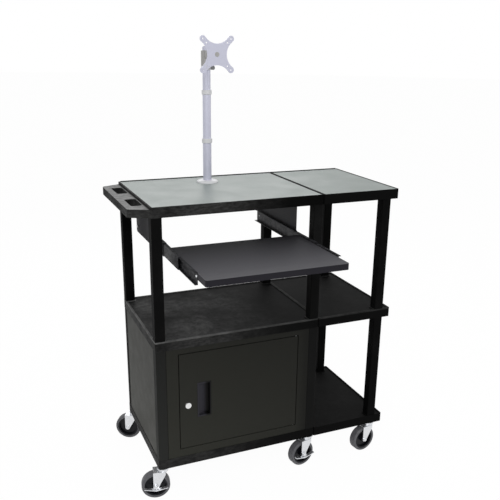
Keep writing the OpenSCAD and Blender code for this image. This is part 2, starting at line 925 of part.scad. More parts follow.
// Ring that the head rests on, clamped at any height by a screw at its front right
module height_ring() {
    color(white_plastic) cart() translate([post_x, post_y, grip_ring_z]) difference() {
        union() {
            cylinder(r = sleeve_r, h = grip_ring_h);
            translate([0, 0, grip_ring_h / 2]) rotate([0, 90, clamp_turn])
                cylinder(r = clamp_boss_r, h = sleeve_r + clamp_boss_l);
        }
        translate([0, 0, -cut]) cylinder(r = post_rs[2] + run_gap, h = grip_ring_h + 2 * cut);
        translate([0, 0, grip_ring_h / 2]) rotate([0, 90, clamp_turn])
            cylinder(r = clamp_r + run_gap, h = sleeve_r + clamp_boss_l + cut);
    }
}

module clamp_screw() {
    color(black_plastic) cart() translate([post_x, post_y, grip_ring_z + grip_ring_h / 2])
        rotate([0, 90, clamp_turn]) {
            translate([0, 0, post_rs[2] + seat_gap])
                cylinder(r = clamp_r, h = sleeve_r + clamp_boss_l + clamp_knob_l - post_rs[2] - seat_gap);
            translate([0, 0, sleeve_r + clamp_boss_l + seat_gap])
                linear_extrude(clamp_knob_l) difference() {
                circle(clamp_knob_r);
                for (k = [1 : clamp_grips]) rotate([0, 0, k * 360 / clamp_grips])
                    translate([clamp_knob_r + clamp_grip_r / 2, 0]) circle(clamp_grip_r);
            }
        }
}

// Swivelling sleeve with an arm that forks at its front end
module swivel_arm() {
    slot_w = tongue_w + 2 * seat_gap;
    slot_l = 2 * ear_r + ear_gap;
    color(silver) cart() translate([post_x, 0, arm_z]) difference() {
        union() {
            translate([0, post_y, sleeve_z - arm_z]) rotate_extrude() polygon([
                [0, 0], [sleeve_r, 0], [sleeve_r, sleeve_h - sleeve_chamfer],
                [sleeve_r - sleeve_chamfer, sleeve_h], [0, sleeve_h]
            ]);
            translate([-arm_w / 2, tilt_y, -arm_h / 2]) cube([arm_w, post_y - tilt_y, arm_h]);
            translate([-arm_w / 2, tilt_y, 0]) rotate([0, 90, 0]) cylinder(r = ear_r, h = arm_w);
        }
        translate([-slot_w / 2, tilt_y - ear_r - cut, -arm_h]) cube([slot_w, slot_l + cut, 2 * arm_h]);
        translate([-arm_w, tilt_y, 0]) rotate([0, 90, 0]) cylinder(r = tilt_r + press_gap, h = 2 * arm_w);
        translate([0, post_y, sleeve_z - arm_z - cut])
            cylinder(r = post_rs[2] + run_gap, h = sleeve_h + 2 * cut);
    }
}

module tilt_bolt() {
    color(zinc) cart() translate([post_x - arm_w / 2, tilt_y, arm_z]) rotate([0, 90, 0]) {
        cylinder(r = tilt_r, h = arm_w);
        translate([0, 0, -tilt_head_h]) cylinder(r = tilt_head_r, h = tilt_head_h);
        translate([0, 0, arm_w]) cylinder(r = tilt_head_r, h = tilt_head_h, $fn = nut_sides);
    }
}

// Tongue between the ears, disc in front of it and stub that the plate turns on
module tilt_block() {
    color(silver) cart() translate([post_x, 0, arm_z]) difference() {
        union() {
            translate([-tongue_w / 2, tilt_y, 0]) rotate([0, 90, 0]) cylinder(r = ear_r, h = tongue_w);
            translate([-tongue_w / 2, disc_y, -ear_r]) cube([tongue_w, tilt_y - disc_y, 2 * ear_r]);
            translate([0, disc_y, 0]) rotate([-90, 0, 0]) cylinder(r = disc_r, h = disc_h);
            translate([0, plate_y, 0])
                rotate([-90, 0, 0]) cylinder(r = stub_r, h = disc_y - plate_y + disc_h);
        }
        translate([-tongue_w, tilt_y, 0]) rotate([0, 90, 0])
            cylinder(r = tilt_r + run_gap, h = 2 * tongue_w);
    }
}

// Cross-shaped plate: a round lobe at each corner, a round bay in each side
module plate_outline() {
    quarter = concat(
        arc(lobe_in, lobe_in, lobe_r, -bay_turn, 90 + bay_turn),
        arc(0, bay_in, bay_r, bay_turn - 90 - plate_blend, plate_blend - bay_turn - 90)
    );
    polygon([for (a = [0 : 90 : 270]) for (p = quarter)
        [p[0] * cos(a) - p[1] * sin(a), p[0] * sin(a) + p[1] * cos(a)]]);
}

module mounting_plate() {
    color(silver) cart() translate([post_x, plate_y, arm_z]) rotate([-90, 0, 0]) difference() {
        union() {
            linear_extrude(plate_t) plate_outline();
            cylinder(r = hub_r, h = plate_t + hub_h);
        }
        for (p = [plate_pitch, plate_inner], x = [-p / 2, p / 2], y = [-p / 2, p / 2])
            translate([x, y, -cut]) cylinder(r = plate_hole_r, h = plate_t + 2 * cut);
        translate([0, 0, -cut]) cylinder(r = stub_r + run_gap, h = plate_t + hub_h + 2 * cut);
    }
}

// Casters

// Stem in the base shelf, raceway under it, and the riveted pin that the fork turns on
module caster_stems() {
    king_z = crown_z - seat_gap;
    color(zinc) cart() for (p = posts) translate(p) rotate_extrude() polygon([
        [0, king_z - king_head_h], [king_head_r, king_z - king_head_h], [king_head_r, king_z],
        [king_r, king_z], [king_r, race_z], [race_r, race_z], [race_r, base_z],
        [stem_r, base_z], [stem_r, base_z + stem_l], [0, base_z + stem_l]
    ]);
}

module at_caster(i) {
    cart() translate(posts[i]) rotate([0, 0, headings[i]]) children();
}

module at_axle(i) {
    at_caster(i) translate([trail, 0, wheel_r]) children();
}

// Cheek: upright trailing edge, round eye, leading edge slanting up to the crown
module cheek_outline() {
    front = trail + eye_r - crown_l;
    corner = [front - trail, crown_z - cheek_front_h - wheel_r];
    touch = atan2(corner[1], corner[0]) + acos(eye_r / norm(corner));
    top = crown_z - wheel_r + fork_t;
    translate([trail, wheel_r])
        polygon(concat([corner, [corner[0], top], [eye_r, top]], arc(0, 0, eye_r, 0, touch - 360)));
}

module fork(i, braked) {
    head_y = cheek_y + fork_t;
    far_y = braked ? brake_y + brake_t + brake_gap : head_y;
    color(zinc) at_caster(i) difference() {
        union() {
            for (s = [0, 1]) mirror([0, s, 0]) translate([0, cheek_y + fork_t, 0])
                rotate([90, 0, 0]) linear_extrude(fork_t) cheek_outline();
            translate([trail + eye_r - crown_l, -cheek_y, crown_z]) cube([crown_l, 2 * cheek_y, fork_t]);
            translate([0, 0, crown_z]) cylinder(r = crown_ring_r, h = fork_t + crown_ring_h);
            translate([trail, far_y, wheel_r]) rotate([90, 0, 0]) cylinder(r = axle_r, h = far_y + head_y);
            translate([trail, far_y + axle_head_h, wheel_r]) rotate([90, 0, 0])
                cylinder(r = axle_head_r, h = axle_head_h);
            translate([trail, -head_y, wheel_r]) rotate([90, 0, 0])
                cylinder(r = axle_head_r, h = axle_head_h, $fn = nut_sides);
        }
        translate([0, 0, crown_z - cut])
            cylinder(r = king_r + run_gap, h = fork_t + crown_ring_h + 2 * cut);
    }
}

module wheel(i) {
    rim_r = wheel_r * rim_share;
    rim_w = wheel_w / 2 - tread_r / 2;
    color(navy_hub) at_axle(i) rotate([90, 0, 0]) rotate_extrude() {
        inner = wheel_r * bead_share;
        boss = wheel_r * boss_share;
        polygon([
            [axle_r + run_gap, -boss_side], [boss, -boss_side], [boss, -web_t / 2], [inner, -web_t / 2],
            [inner, -rim_w], [rim_r, -rim_w], [rim_r, rim_w], [inner, rim_w],
            [inner, web_t / 2], [boss, web_t / 2], [boss, boss_side], [axle_r + run_gap, boss_side]
        ]);
    }
}

// Tyre bonded on the rim, with round shoulders
module tyre(i) {
    inner = wheel_r * rim_share + press_gap;
    color(gray_tyre) at_axle(i) rotate([90, 0, 0]) rotate_extrude() {
        translate([inner, -wheel_w / 2]) square([wheel_r - tread_r - inner, wheel_w]);
        translate([inner, tread_r - wheel_w / 2]) square([wheel_r - inner, wheel_w - 2 * tread_r]);
        for (y = [-1, 1]) translate([wheel_r - tread_r, y * (wheel_w / 2 - tread_r)]) circle(tread_r);
    }
}

// Rocking brake bar on the outer side of a front caster, its wings bent outwards
module brake(i) {
    half = brake_l / 2;
    color(silver) at_axle(i) translate([0, brake_y, 0]) rotate([90, 0, 0]) mirror([0, 0, 1]) difference() {
        union() {
            linear_extrude(brake_t) {
                circle(brake_eye_r);
                polygon([
                    [-half / 2, -brake_drop / 2], [half / 2, -brake_drop / 2], [0, -brake_drop - brake_t]
                ]);
            }
            linear_extrude(brake_d) polygon([
                [-half, brake_rise], [0, -brake_drop], [half, brake_rise],
                [half, brake_rise - brake_t], [0, -brake_drop - brake_t], [-half, brake_rise - brake_t]
            ]);
        }
        translate([0, 0, -cut]) cylinder(r = axle_r + run_gap, h = brake_t + 2 * cut);
    }
}

module front_left_fork() {
    fork(0, true);
}

module front_left_wheel() {
    wheel(0);
}

module front_left_tyre() {
    tyre(0);
}

module front_left_brake() {
    brake(0);
}

module front_center_fork() {
    fork(2, true);
}

module front_center_wheel() {
    wheel(2);
}

module front_center_tyre() {
    tyre(2);
}

module front_center_brake() {
    brake(2);
}

module front_right_fork() {
    fork(4, false);
}

module front_right_wheel() {
    wheel(4);
}

module front_right_tyre() {
    tyre(4);
}

module rear_left_fork() {
    fork(1, false);
}

module rear_left_wheel() {
    wheel(1);
}

module rear_left_tyre() {
    tyre(1);
}

module rear_center_fork() {
    fork(3, false);
}

module rear_center_wheel() {
    wheel(3);
}

module rear_center_tyre() {
    tyre(3);
}

module rear_right_fork() {
    fork(5, false);
}

module rear_right_wheel() {
    wheel(5);
}

module rear_right_tyre() {
    tyre(5);
}

// Bolts between the shelves, under the post, and the screws of hangers and slides

module join_bolt(z) {
    for (s = join_shares) translate([main_w - skirt_t, s * shelf_d, z + join_z]) rotate([0, 90, 0]) {
        translate([0, 0, -join_head_h]) cylinder(r = join_head_r, h = join_head_h, $fn = nut_sides);
        cylinder(r = join_r, h = 2 * skirt_t + seat_gap);
        translate([0, 0, 2 * skirt_t + seat_gap]) cylinder(r = join_head_r, h = join_head_h);
    }
}

module frame_fasteners() {
    color(zinc) cart() {
        for (z = [base_z, middle_z, top_z]) join_bolt(z);
        for (p = hanger_screws) translate([p[0], p[1], top_z - hanger_t]) screw();
        both_sides() for (k = slide_screw_shares)
            translate([hanger_x, hanger_y + k * hanger_l, slide_bottom_z + slide_h / 2])
                rotate([0, 90, 0]) {
                translate([0, 0, -screw_head_h]) cylinder(r = screw_head_r, h = screw_head_h);
                cylinder(r = screw_r, h = hanger_t + slide_sheet);
            }
        translate([post_x, post_y, top_z]) {
            translate([0, 0, -bolt_head_h]) cylinder(r = bolt_head_r, h = bolt_head_h, $fn = nut_sides);
            cylinder(r = bolt_r, h = laminate_top_z + flange_floor - top_z);
        }
    }
}

main_top_shelf();
main_middle_shelf();
main_base_shelf();
side_top_shelf();
side_middle_shelf();
side_base_shelf();
main_laminate();
side_laminate();
front_left_legs();
rear_left_legs();
front_center_legs();
rear_center_legs();
front_right_legs();
rear_right_legs();
cabinet_side_panels();
cabinet_back_panel();
cabinet_front_frame();
cabinet_door();
door_hinge_pins();
door_pull();
lock_body();
lock_plug();
left_tray_hanger();
right_tray_hanger();
slide_outers();
slide_middles();
slide_inners();
tray_board();
tray_screws();
post_flange();
post_tube();
post_rings();
height_ring();
clamp_screw();
swivel_arm();
tilt_bolt();
tilt_block();
mounting_plate();
caster_stems();
front_left_fork();
front_left_wheel();
front_left_tyre();
front_left_brake();
front_center_fork();
front_center_wheel();
front_center_tyre();
front_center_brake();
front_right_fork();
front_right_wheel();
front_right_tyre();
rear_left_fork();
rear_left_wheel();
rear_left_tyre();
rear_center_fork();
rear_center_wheel();
rear_center_tyre();
rear_right_fork();
rear_right_wheel();
rear_right_tyre();
frame_fasteners();
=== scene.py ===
import math
import bpy
import bmesh
from mathutils import Matrix, Vector


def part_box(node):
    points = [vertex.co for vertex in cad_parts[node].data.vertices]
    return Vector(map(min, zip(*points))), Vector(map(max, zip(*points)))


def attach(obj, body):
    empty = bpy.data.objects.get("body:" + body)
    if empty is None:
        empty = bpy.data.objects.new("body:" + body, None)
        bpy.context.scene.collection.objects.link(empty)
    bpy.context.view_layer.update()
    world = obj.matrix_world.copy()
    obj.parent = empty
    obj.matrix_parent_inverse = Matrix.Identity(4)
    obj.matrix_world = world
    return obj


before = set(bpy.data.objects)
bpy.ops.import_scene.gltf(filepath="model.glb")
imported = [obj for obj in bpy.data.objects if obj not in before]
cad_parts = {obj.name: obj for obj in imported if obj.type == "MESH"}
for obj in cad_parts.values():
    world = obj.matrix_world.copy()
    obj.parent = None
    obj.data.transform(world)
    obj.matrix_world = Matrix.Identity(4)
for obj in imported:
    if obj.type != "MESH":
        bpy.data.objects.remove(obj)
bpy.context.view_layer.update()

# The camera stands before the cart's left end, about as high as the post's head, and looks
# down on the worktops, as a photographer would take a large piece of furniture.
eye = Vector((-0.94265, -2.11816, 1.53845))
yaw, pitch, roll = (math.radians(degrees) for degrees in (23.467, 18.392, 0.866))
forward = Vector((math.sin(yaw) * math.cos(pitch), math.cos(yaw) * math.cos(pitch), -math.sin(pitch)))
level_right = Vector((math.cos(yaw), -math.sin(yaw), 0))
level_up = level_right.cross(forward)
right = math.cos(roll) * level_right + math.sin(roll) * level_up
up = math.cos(roll) * level_up - math.sin(roll) * level_right
camera_data = bpy.data.cameras.new("studio_camera")
camera_data.sensor_width = 36
camera_data.lens = 49.27
camera_data.shift_x = -0.01408
camera_data.shift_y = 0.0486
camera = bpy.data.objects.new("studio_camera", camera_data)
camera.matrix_world = Matrix((
    (right.x, up.x, -forward.x, eye.x),
    (right.y, up.y, -forward.y, eye.y),
    (right.z, up.z, -forward.z, eye.z),
    (0, 0, 0, 1),
))
bpy.context.scene.collection.objects.link(camera)
bpy.context.scene.camera = camera
bpy.context.scene.view_settings.view_transform = "Standard"


# Studio floor and surround: a large pale disc under an even white world. Both glow for the
# camera and in reflections, and otherwise light the cart only a little.
def seen_or_mirrored(tree):
    """1 for a ray from the camera, or one that a shiny or clear surface sends on."""
    path = tree.nodes.new("ShaderNodeLightPath")
    seen = path.outputs["Is Camera Ray"]
    for sent_on in ("Is Glossy Ray", "Is Transmission Ray"):
        either = tree.nodes.new("ShaderNodeMath")
        either.operation = "MAXIMUM"
        tree.links.new(seen, either.inputs[0])
        tree.links.new(path.outputs[sent_on], either.inputs[1])
        seen = either.outputs[0]
    return seen


floor_radius = 40.0
floor_mesh = bpy.data.meshes.new("floor")
outline = bmesh.new()
bmesh.ops.create_circle(outline, cap_ends=True, radius=floor_radius, segments=64)
outline.to_mesh(floor_mesh)
outline.free()
floor = bpy.data.objects.new("floor", floor_mesh)
bpy.context.scene.collection.objects.link(floor)

floor_paint = bpy.data.materials.new("floor_paint")
floor_paint.use_nodes = True
tree = floor_paint.node_tree
tree.nodes.clear()
paint = tree.nodes.new("ShaderNodeBsdfDiffuse")
paint.inputs["Color"].default_value = (0.86, 0.86, 0.86, 1)
glow = tree.nodes.new("ShaderNodeEmission")
glow.inputs["Color"].default_value = (1, 1, 1, 1)
glow.inputs["Strength"].default_value = 1.025
glow_share = tree.nodes.new("ShaderNodeMath")
glow_share.operation = "MULTIPLY"
glow_share.inputs[1].default_value = 0.95
tree.links.new(seen_or_mirrored(tree), glow_share.inputs[0])
blend = tree.nodes.new("ShaderNodeMixShader")
tree.links.new(glow_share.outputs[0], blend.inputs["Fac"])
tree.links.new(paint.outputs[0], blend.inputs[1])
tree.links.new(glow.outputs[0], blend.inputs[2])
surface = tree.nodes.new("ShaderNodeOutputMaterial")
tree.links.new(blend.outputs[0], surface.inputs["Surface"])
floor_mesh.materials.append(floor_paint)

world = bpy.data.worlds.new("white_surround")
bpy.context.scene.world = world
world.use_nodes = True
tree = world.node_tree
tree.nodes.clear()
fill = tree.nodes.new("ShaderNodeBackground")
fill.inputs["Color"].default_value = (1, 1, 1, 1)
fill.inputs["Strength"].default_value = 0.32
white = tree.nodes.new("ShaderNodeBackground")
white.inputs["Color"].default_value = (1, 1, 1, 1)
white.inputs["Strength"].default_value = 1.0
blend = tree.nodes.new("ShaderNodeMixShader")
tree.links.new(seen_or_mirrored(tree), blend.inputs["Fac"])
tree.links.new(fill.outputs[0], blend.inputs[1])
tree.links.new(white.outputs[0], blend.inputs[2])
surface = tree.nodes.new("ShaderNodeOutputWorld")
tree.links.new(blend.outputs[0], surface.inputs["Surface"])


# Studio lamps: a broad key from the upper left front, a weaker one from the right, and a
# strip behind that grazes the worktops.
def softbox(name, place, target, size, power):
    light = bpy.data.lights.new(name, "AREA")
    light.shape = "RECTANGLE"
    light.size, light.size_y = size
    light.energy = power
    lamp = bpy.data.objects.new(name, light)
    lamp.location = place
    lamp.rotation_euler = (Vector(target) - Vector(place)).to_track_quat("-Z", "Y").to_euler()
    bpy.context.scene.collection.objects.link(lamp)


softbox("key_softbox", place=(-1.6, -3.0, 3.0), target=(0, 0, 0.8), size=(2.0, 2.0), power=58)
softbox("right_softbox", place=(3.0, -2.0, 2.2), target=(0, 0, 0.8), size=(1.6, 2.2), power=14)
softbox("rear_strip", place=(0.6, 3.2, 2.6), target=(0, 0, 1.0), size=(2.6, 0.8), power=22)


# Shelves: one-piece mouldings in black structural plastic with a fine pebble skin, open and
# ribbed underneath, with pegs that the legs slip over. Handling leaves pale cloudy scuffs
# on their faces. Painted light makes the scuffs strongest at the left end, painted shade
# darkens upright sides toward the right, and a painted highlight runs along the rims.
def finish(name, color, roughness, metallic=0.0, specular=0.5):
    material = bpy.data.materials.new(name)
    material.use_nodes = True
    shader = material.node_tree.nodes["Principled BSDF"]
    shader.inputs["Base Color"].default_value = (*color, 1)
    shader.inputs["Roughness"].default_value = roughness
    shader.inputs["Metallic"].default_value = metallic
    shader.inputs["Specular IOR Level"].default_value = specular
    return material, material.node_tree, shader


def place_of(tree):
    """Places on the piece in metres, which stay with it as it moves."""
    return tree.nodes.new("ShaderNodeTexCoord").outputs["Object"]


def stretched(tree, place, scale):
    mapping = tree.nodes.new("ShaderNodeMapping")
    mapping.inputs["Scale"].default_value = scale
    tree.links.new(place, mapping.inputs["Vector"])
    return mapping.outputs["Vector"]


def along(tree, vector, axis):
    split = tree.nodes.new("ShaderNodeSeparateXYZ")
    tree.links.new(vector, split.inputs[0])
    return split.outputs[axis]


def cloud(tree, place, per_metre, detail, rough=0.5):
    """Noise around a half, most of it within the spans named below."""
    noise = tree.nodes.new("ShaderNodeTexNoise")
    noise.inputs["Scale"].default_value = per_metre
    noise.inputs["Detail"].default_value = detail
    noise.inputs["Roughness"].default_value = rough
    tree.links.new(place, noise.inputs["Vector"])
    return noise.outputs["Fac"]


soft_pattern, crisp_pattern = (0.3, 0.7), (0.35, 0.65)


def spread(tree, value, reads, gives=(0, 1)):
    """The span of values that it reads, stretched to the span that it gives."""
    ramp = tree.nodes.new("ShaderNodeMapRange")
    ramp.inputs["From Min"].default_value, ramp.inputs["From Max"].default_value = reads
    ramp.inputs["To Min"].default_value, ramp.inputs["To Max"].default_value = gives
    tree.links.new(value, ramp.inputs["Value"])
    return ramp.outputs["Result"]


def joined(tree, operation, first, second):
    pair = tree.nodes.new("ShaderNodeMath")
    pair.operation = operation
    tree.links.new(first, pair.inputs[0])
    tree.links.new(second, pair.inputs[1])
    return pair.outputs[0]


def product(tree, first, second):
    return joined(tree, "MULTIPLY", first, second)


def between(tree, share, first, second):
    """A color from the first at share 0 to the second at 1. Either may come from a node."""
    mix = tree.nodes.new("ShaderNodeMix")
    mix.data_type = "RGBA"
    for socket, color in (("A", first), ("B", second)):
        if isinstance(color, tuple):
            mix.inputs[socket].default_value = (*color, 1)
        else:
            tree.links.new(color, mix.inputs[socket])
    tree.links.new(share, mix.inputs["Factor"])
    return mix.outputs["Result"]


def color_with(tree, shader, color):
    tree.links.new(color, shader.inputs["Base Color"])


def tint(tree, shader, color, share):
    """Takes the color so far toward another by a share."""
    so_far = shader.inputs["Base Color"].links[0].from_socket
    color_with(tree, shader, between(tree, share, so_far, color))


def roughen(tree, shader, roughness):
    tree.links.new(roughness, shader.inputs["Roughness"])


def relief(tree, shader, height, depth, strength):
    bump = tree.nodes.new("ShaderNodeBump")
    bump.inputs["Distance"].default_value = depth
    bump.inputs["Strength"].default_value = strength
    tree.links.new(height, bump.inputs["Height"])
    tree.links.new(bump.outputs["Normal"], shader.inputs["Normal"])


def facing_up(tree):
    """1 on a level top, 0 on an upright side."""
    normal = tree.nodes.new("ShaderNodeNewGeometry").outputs["Normal"]
    return spread(tree, along(tree, normal, "Z"), (0.3, 0.9))


def upright(tree):
    return spread(tree, facing_up(tree), (0, 1), (1, 0))


def lit_from_left(tree, place):
    """Painted light: the scuffs show most toward the handle's end, where the key light falls, and fade
    toward the right.
    """
    light_fades = (-0.2, 0.06)
    return spread(tree, along(tree, place, "X"), light_fades, (1, 0.1))


def moulded_resin(name, clean, scuffed, scuffs, specular, light_share=None):
    """scuffs is the span of noise between clean and scuffed; the last argument scales it by place, as
    painted light.
    """
    clean_roughness, worn_roughness = 0.7, 0.5
    material, tree, shader = finish(name, clean, clean_roughness, specular=specular)
    place = place_of(tree)
    patches = spread(tree, cloud(tree, place, per_metre=6, detail=4, rough=0.6), scuffs)
    streaks = cloud(tree, stretched(tree, place, (1, 1, 3)), per_metre=45, detail=5, rough=0.7)
    scuffs_and_light = product(tree, patches, spread(tree, streaks, (0.35, 0.7), (0.25, 1)))
    # Painted light: the scuffs are scaled by place, strongest where the key light falls.
    if light_share:
        scuffs_and_light = product(tree, scuffs_and_light, light_share(tree, place))
    color_with(tree, shader, between(tree, scuffs_and_light, clean, scuffed))
    roughen(tree, shader, spread(tree, scuffs_and_light, (0, 1), (clean_roughness, worn_roughness)))
    pebbles = cloud(tree, place, per_metre=900, detail=2, rough=0.6)
    relief(tree, shader, pebbles, depth=0.0002, strength=0.35)
    return material, tree, shader


def shade_right_sides(tree, shader):
    """Painted shade: upright sides are darkened nearly black toward the cart's right end, away from the
    key light.
    """
    painted_shade_black, shade_grows = (0.0008, 0.0008, 0.0008), (-0.12, 0.2)
    toward_right = spread(tree, along(tree, place_of(tree), "X"), shade_grows, (0, 0.9))
    tint(tree, shader, painted_shade_black, product(tree, upright(tree), toward_right))


def rim_line(tree, place, top):
    """1 on the raised rim of a shelf whose top is that high, and on its skirt's upper edge."""
    height = along(tree, place, "Z")

    def band(low, high, gives=(0, 1)):
        return spread(tree, height, (top + low, top + high), gives)

    below_top = band(0.0005, 0.001, gives=(1, 0))
    rim = product(tree, band(-0.0016, -0.001), below_top)
    edge = product(tree, band(-0.006, -0.004), below_top)
    return joined(tree, "MAXIMUM", rim, product(tree, edge, upright(tree)))


def dress(material, *nodes):
    for name in nodes:
        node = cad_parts[name]
        node.data.materials.clear()
        node.data.materials.append(material)


def round_edges(width, *nodes):
    """Moulded and folded edges are a little round."""
    for name in nodes:
        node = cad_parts[name]
        flat = node.modifiers.new("flat_faces", "DECIMATE")
        flat.decimate_type = "DISSOLVE"
        flat.angle_limit = math.radians(1)
        edge = node.modifiers.new("round_edges", "BEVEL")
        edge.width = width
        edge.segments = 2
        edge.limit_method = "ANGLE"
        edge.angle_limit = math.radians(40)
        edge.use_clamp_overlap = True


plain_shelves = (
    "main_middle_shelf", "main_base_shelf", "side_top_shelf", "side_middle_shelf", "side_base_shelf",
)
moulded_edge = 0.0025
middle_rim_top, base_rim_top = 0.606, 0.177
rim_highlight, rim_highlight_fades = (0.17, 0.17, 0.168), (-0.42, 0.3)
shelf_resin, tree, shader = moulded_resin(
    "shelf_resin", clean=(0.0045, 0.0045, 0.0045), scuffed=(0.062, 0.062, 0.061), scuffs=(0.32, 0.6),
    specular=0.05, light_share=lit_from_left,
)
# Painted shade on the shelves' upright sides toward the right.
shade_right_sides(tree, shader)
place = place_of(tree)
# Painted highlight along the rims and skirt tops, fading toward the right, broken into patches.
rim_highlight_share = product(
    tree, spread(tree, along(tree, place, "X"), rim_highlight_fades, (1, 0.2)),
    spread(tree, cloud(tree, place, per_metre=20, detail=4), crisp_pattern, (0.4, 1)),
)
for rim_top in (middle_rim_top, base_rim_top):
    tint(tree, shader, rim_highlight, product(tree, rim_line(tree, place, rim_top), rim_highlight_share))
dress(shelf_resin, *plain_shelves)
round_edges(moulded_edge, *plain_shelves)

# Top shelf: one moulding with the push handle at its left end, in the same resin, on the
# upper legs. The handle's upper face carries a painted highlight, pale in soft patches.
handle_resin, tree, shader = moulded_resin(
    "handle_resin", clean=(0.002, 0.002, 0.002), scuffed=(0.075, 0.075, 0.074), scuffs=(0.22, 0.55),
    specular=0.03, light_share=lit_from_left,
)
# Painted shade on the top shelf's upright sides toward the right.
shade_right_sides(tree, shader)
place = place_of(tree)
handle_from, handle_whole, handle_highlight = -0.424, -0.43, (0.42, 0.42, 0.418)
handle = spread(tree, along(tree, place, "X"), (handle_from, handle_whole))
highlight_patches = spread(tree, cloud(tree, place, per_metre=50, detail=4), (0.3, 0.6), (0.6, 1))
# Painted highlight on the handle's upper face.
tint(tree, shader, handle_highlight, product(tree, product(tree, handle, facing_up(tree)), highlight_patches))
dress(handle_resin, "main_top_shelf")
round_edges(moulded_edge, "main_top_shelf")

# Legs: square hollow extrusions of the same black resin, pushed over the shelves' pegs,
# smoother than the mouldings because they leave a die instead of a mould.
plain_legs = ("rear_left_legs", "rear_center_legs", "front_right_legs", "rear_right_legs")
leg_black, leg_scuff, leg_scuffs = (0.003, 0.003, 0.003), (0.01, 0.01, 0.01), (0.45, 0.75)
leg_edge = 0.002
leg_resin = moulded_resin("leg_resin", leg_black, leg_scuff, leg_scuffs, specular=0.03)[0]
dress(leg_resin, *plain_legs)
round_edges(leg_edge, *plain_legs)


# Rear lips: low beads of the legs' resin along the tops' rear edges, let a little into the
# rims, to stop papers and pens from rolling off behind.
def rear_lip(name, left, right):
    """A bead with a rounded crown, drawn as its end profile and run along the edge."""
    middle, foot = 0.3645, 1.05975
    half_width, side_height, crown, crown_steps = 0.00275, 0.0027, 0.0018, 12
    profile = [(-half_width, 0.0)]
    for step in range(crown_steps + 1):
        turn = math.pi * step / crown_steps
        profile.append((-half_width * math.cos(turn), side_height + crown * math.sin(turn)))
    profile.append((half_width, 0.0))
    count = len(profile)
    corners = [(x, middle + y, foot + z) for x in (left, right) for y, z in profile]
    sides = [(i, count + i, count + (i + 1) % count, (i + 1) % count) for i in range(count)]
    ends = [tuple(range(count)), tuple(reversed(range(count, 2 * count)))]
    mesh = bpy.data.meshes.new(name)
    mesh.from_pydata(corners, [], sides + ends)
    mesh.materials.append(leg_resin)
    lip = bpy.data.objects.new(name, mesh)
    bpy.context.scene.collection.objects.link(lip)
    eased = lip.modifiers.new("eased_ends", "BEVEL")
    eased.width = 0.0006
    eased.segments = 2
    eased.limit_method = "ANGLE"
    eased.angle_limit = math.radians(60)
    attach(lip, "frame")


rear_lip("main_rear_lip", left=-0.4165, right=0.1835)
rear_lip("side_rear_lip", left=0.1855, right=0.4825)

# Worktops: gray-green laminate sheets bonded into the recesses of the top mouldings, satin,
# with the fine speckle of the printed paper under the resin.
laminate, tree, shader = finish("gray_laminate", (0.34, 0.385, 0.365), roughness=0.5, specular=0.25)
place = place_of(tree)
paper, dots = (0.31, 0.355, 0.338), (0.37, 0.42, 0.4)
speckle = spread(tree, cloud(tree, place, per_metre=700, detail=2, rough=0.7), crisp_pattern)
color_with(tree, shader, between(tree, speckle, paper, dots))
wiped = cloud(tree, place, per_metre=12, detail=3)
roughen(tree, shader, spread(tree, wiped, soft_pattern, (0.36, 0.48)))
relief(tree, shader, cloud(tree, place, per_metre=1500, detail=1), depth=0.0001, strength=0.3)
dress(laminate, "main_laminate", "side_laminate")


# Cabinet: folded sheet steel pans between the legs, and a framed front with an inset door,
# all in a dark powder coat with its usual fine orange peel.
def coat_shade(tree, place, dark, light):
    """Painted light and shade: lighter toward the left and the floor, darker up under the middle shelf,
    darkest on the front's right upright.
    """
    left_to_right, door_to_upright, floor_to_shelf = (-0.42, 0.2), (0.1, 0.14), (0.15, 0.58)
    across, height = along(tree, place, "X"), along(tree, place, "Z")
    shade = product(
        tree, spread(tree, across, left_to_right, (1, 0.45)),
        spread(tree, height, floor_to_shelf, (1, 0.45)),
    )
    shade = product(tree, shade, spread(tree, across, door_to_upright, (1, 0.25)))
    return between(tree, shade, dark, light)


cabinet = ("cabinet_side_panels", "cabinet_back_panel", "cabinet_front_frame", "cabinet_door")
cabinet_coat, tree, shader = finish("cabinet_coat", (0.02, 0.02, 0.017), roughness=0.5, specular=0.1)
place = place_of(tree)
shaded_coat, lit_coat = (0.0055, 0.0055, 0.0047), (0.039, 0.0395, 0.0325)
# Painted light and shade across the cabinet's coat.
color_with(tree, shader, coat_shade(tree, place, shaded_coat, lit_coat))
smears = cloud(tree, place, per_metre=25, detail=3)
roughen(tree, shader, spread(tree, smears, soft_pattern, (0.5, 0.56)))
relief(tree, shader, cloud(tree, place, per_metre=550, detail=2), depth=0.0002, strength=0.3)
dress(cabinet_coat, *cabinet)
round_edges(0.001, *cabinet)

# Legs beside the door: the same extrusions. Below the middle shelf, where the cabinet's
# front stands between them, they are coated to match it. Above it they are bare.
door_legs = ("front_left_legs", "front_center_legs")
coated_leg, tree, shader = moulded_resin("coated_leg", leg_black, leg_scuff, leg_scuffs, specular=0.05)
place = place_of(tree)
coat_ends, shaded_leg, lit_leg = (0.578, 0.582), (0.006, 0.006, 0.006), (0.034, 0.035, 0.033)
coated = spread(tree, along(tree, place, "Z"), coat_ends, (1, 0))
# The coat below the shelf carries the cabinet's painted light and shade.
tint(tree, shader, coat_shade(tree, place, shaded_leg, lit_leg), coated)
dress(coated_leg, *door_legs)
round_edges(leg_edge, *door_legs)

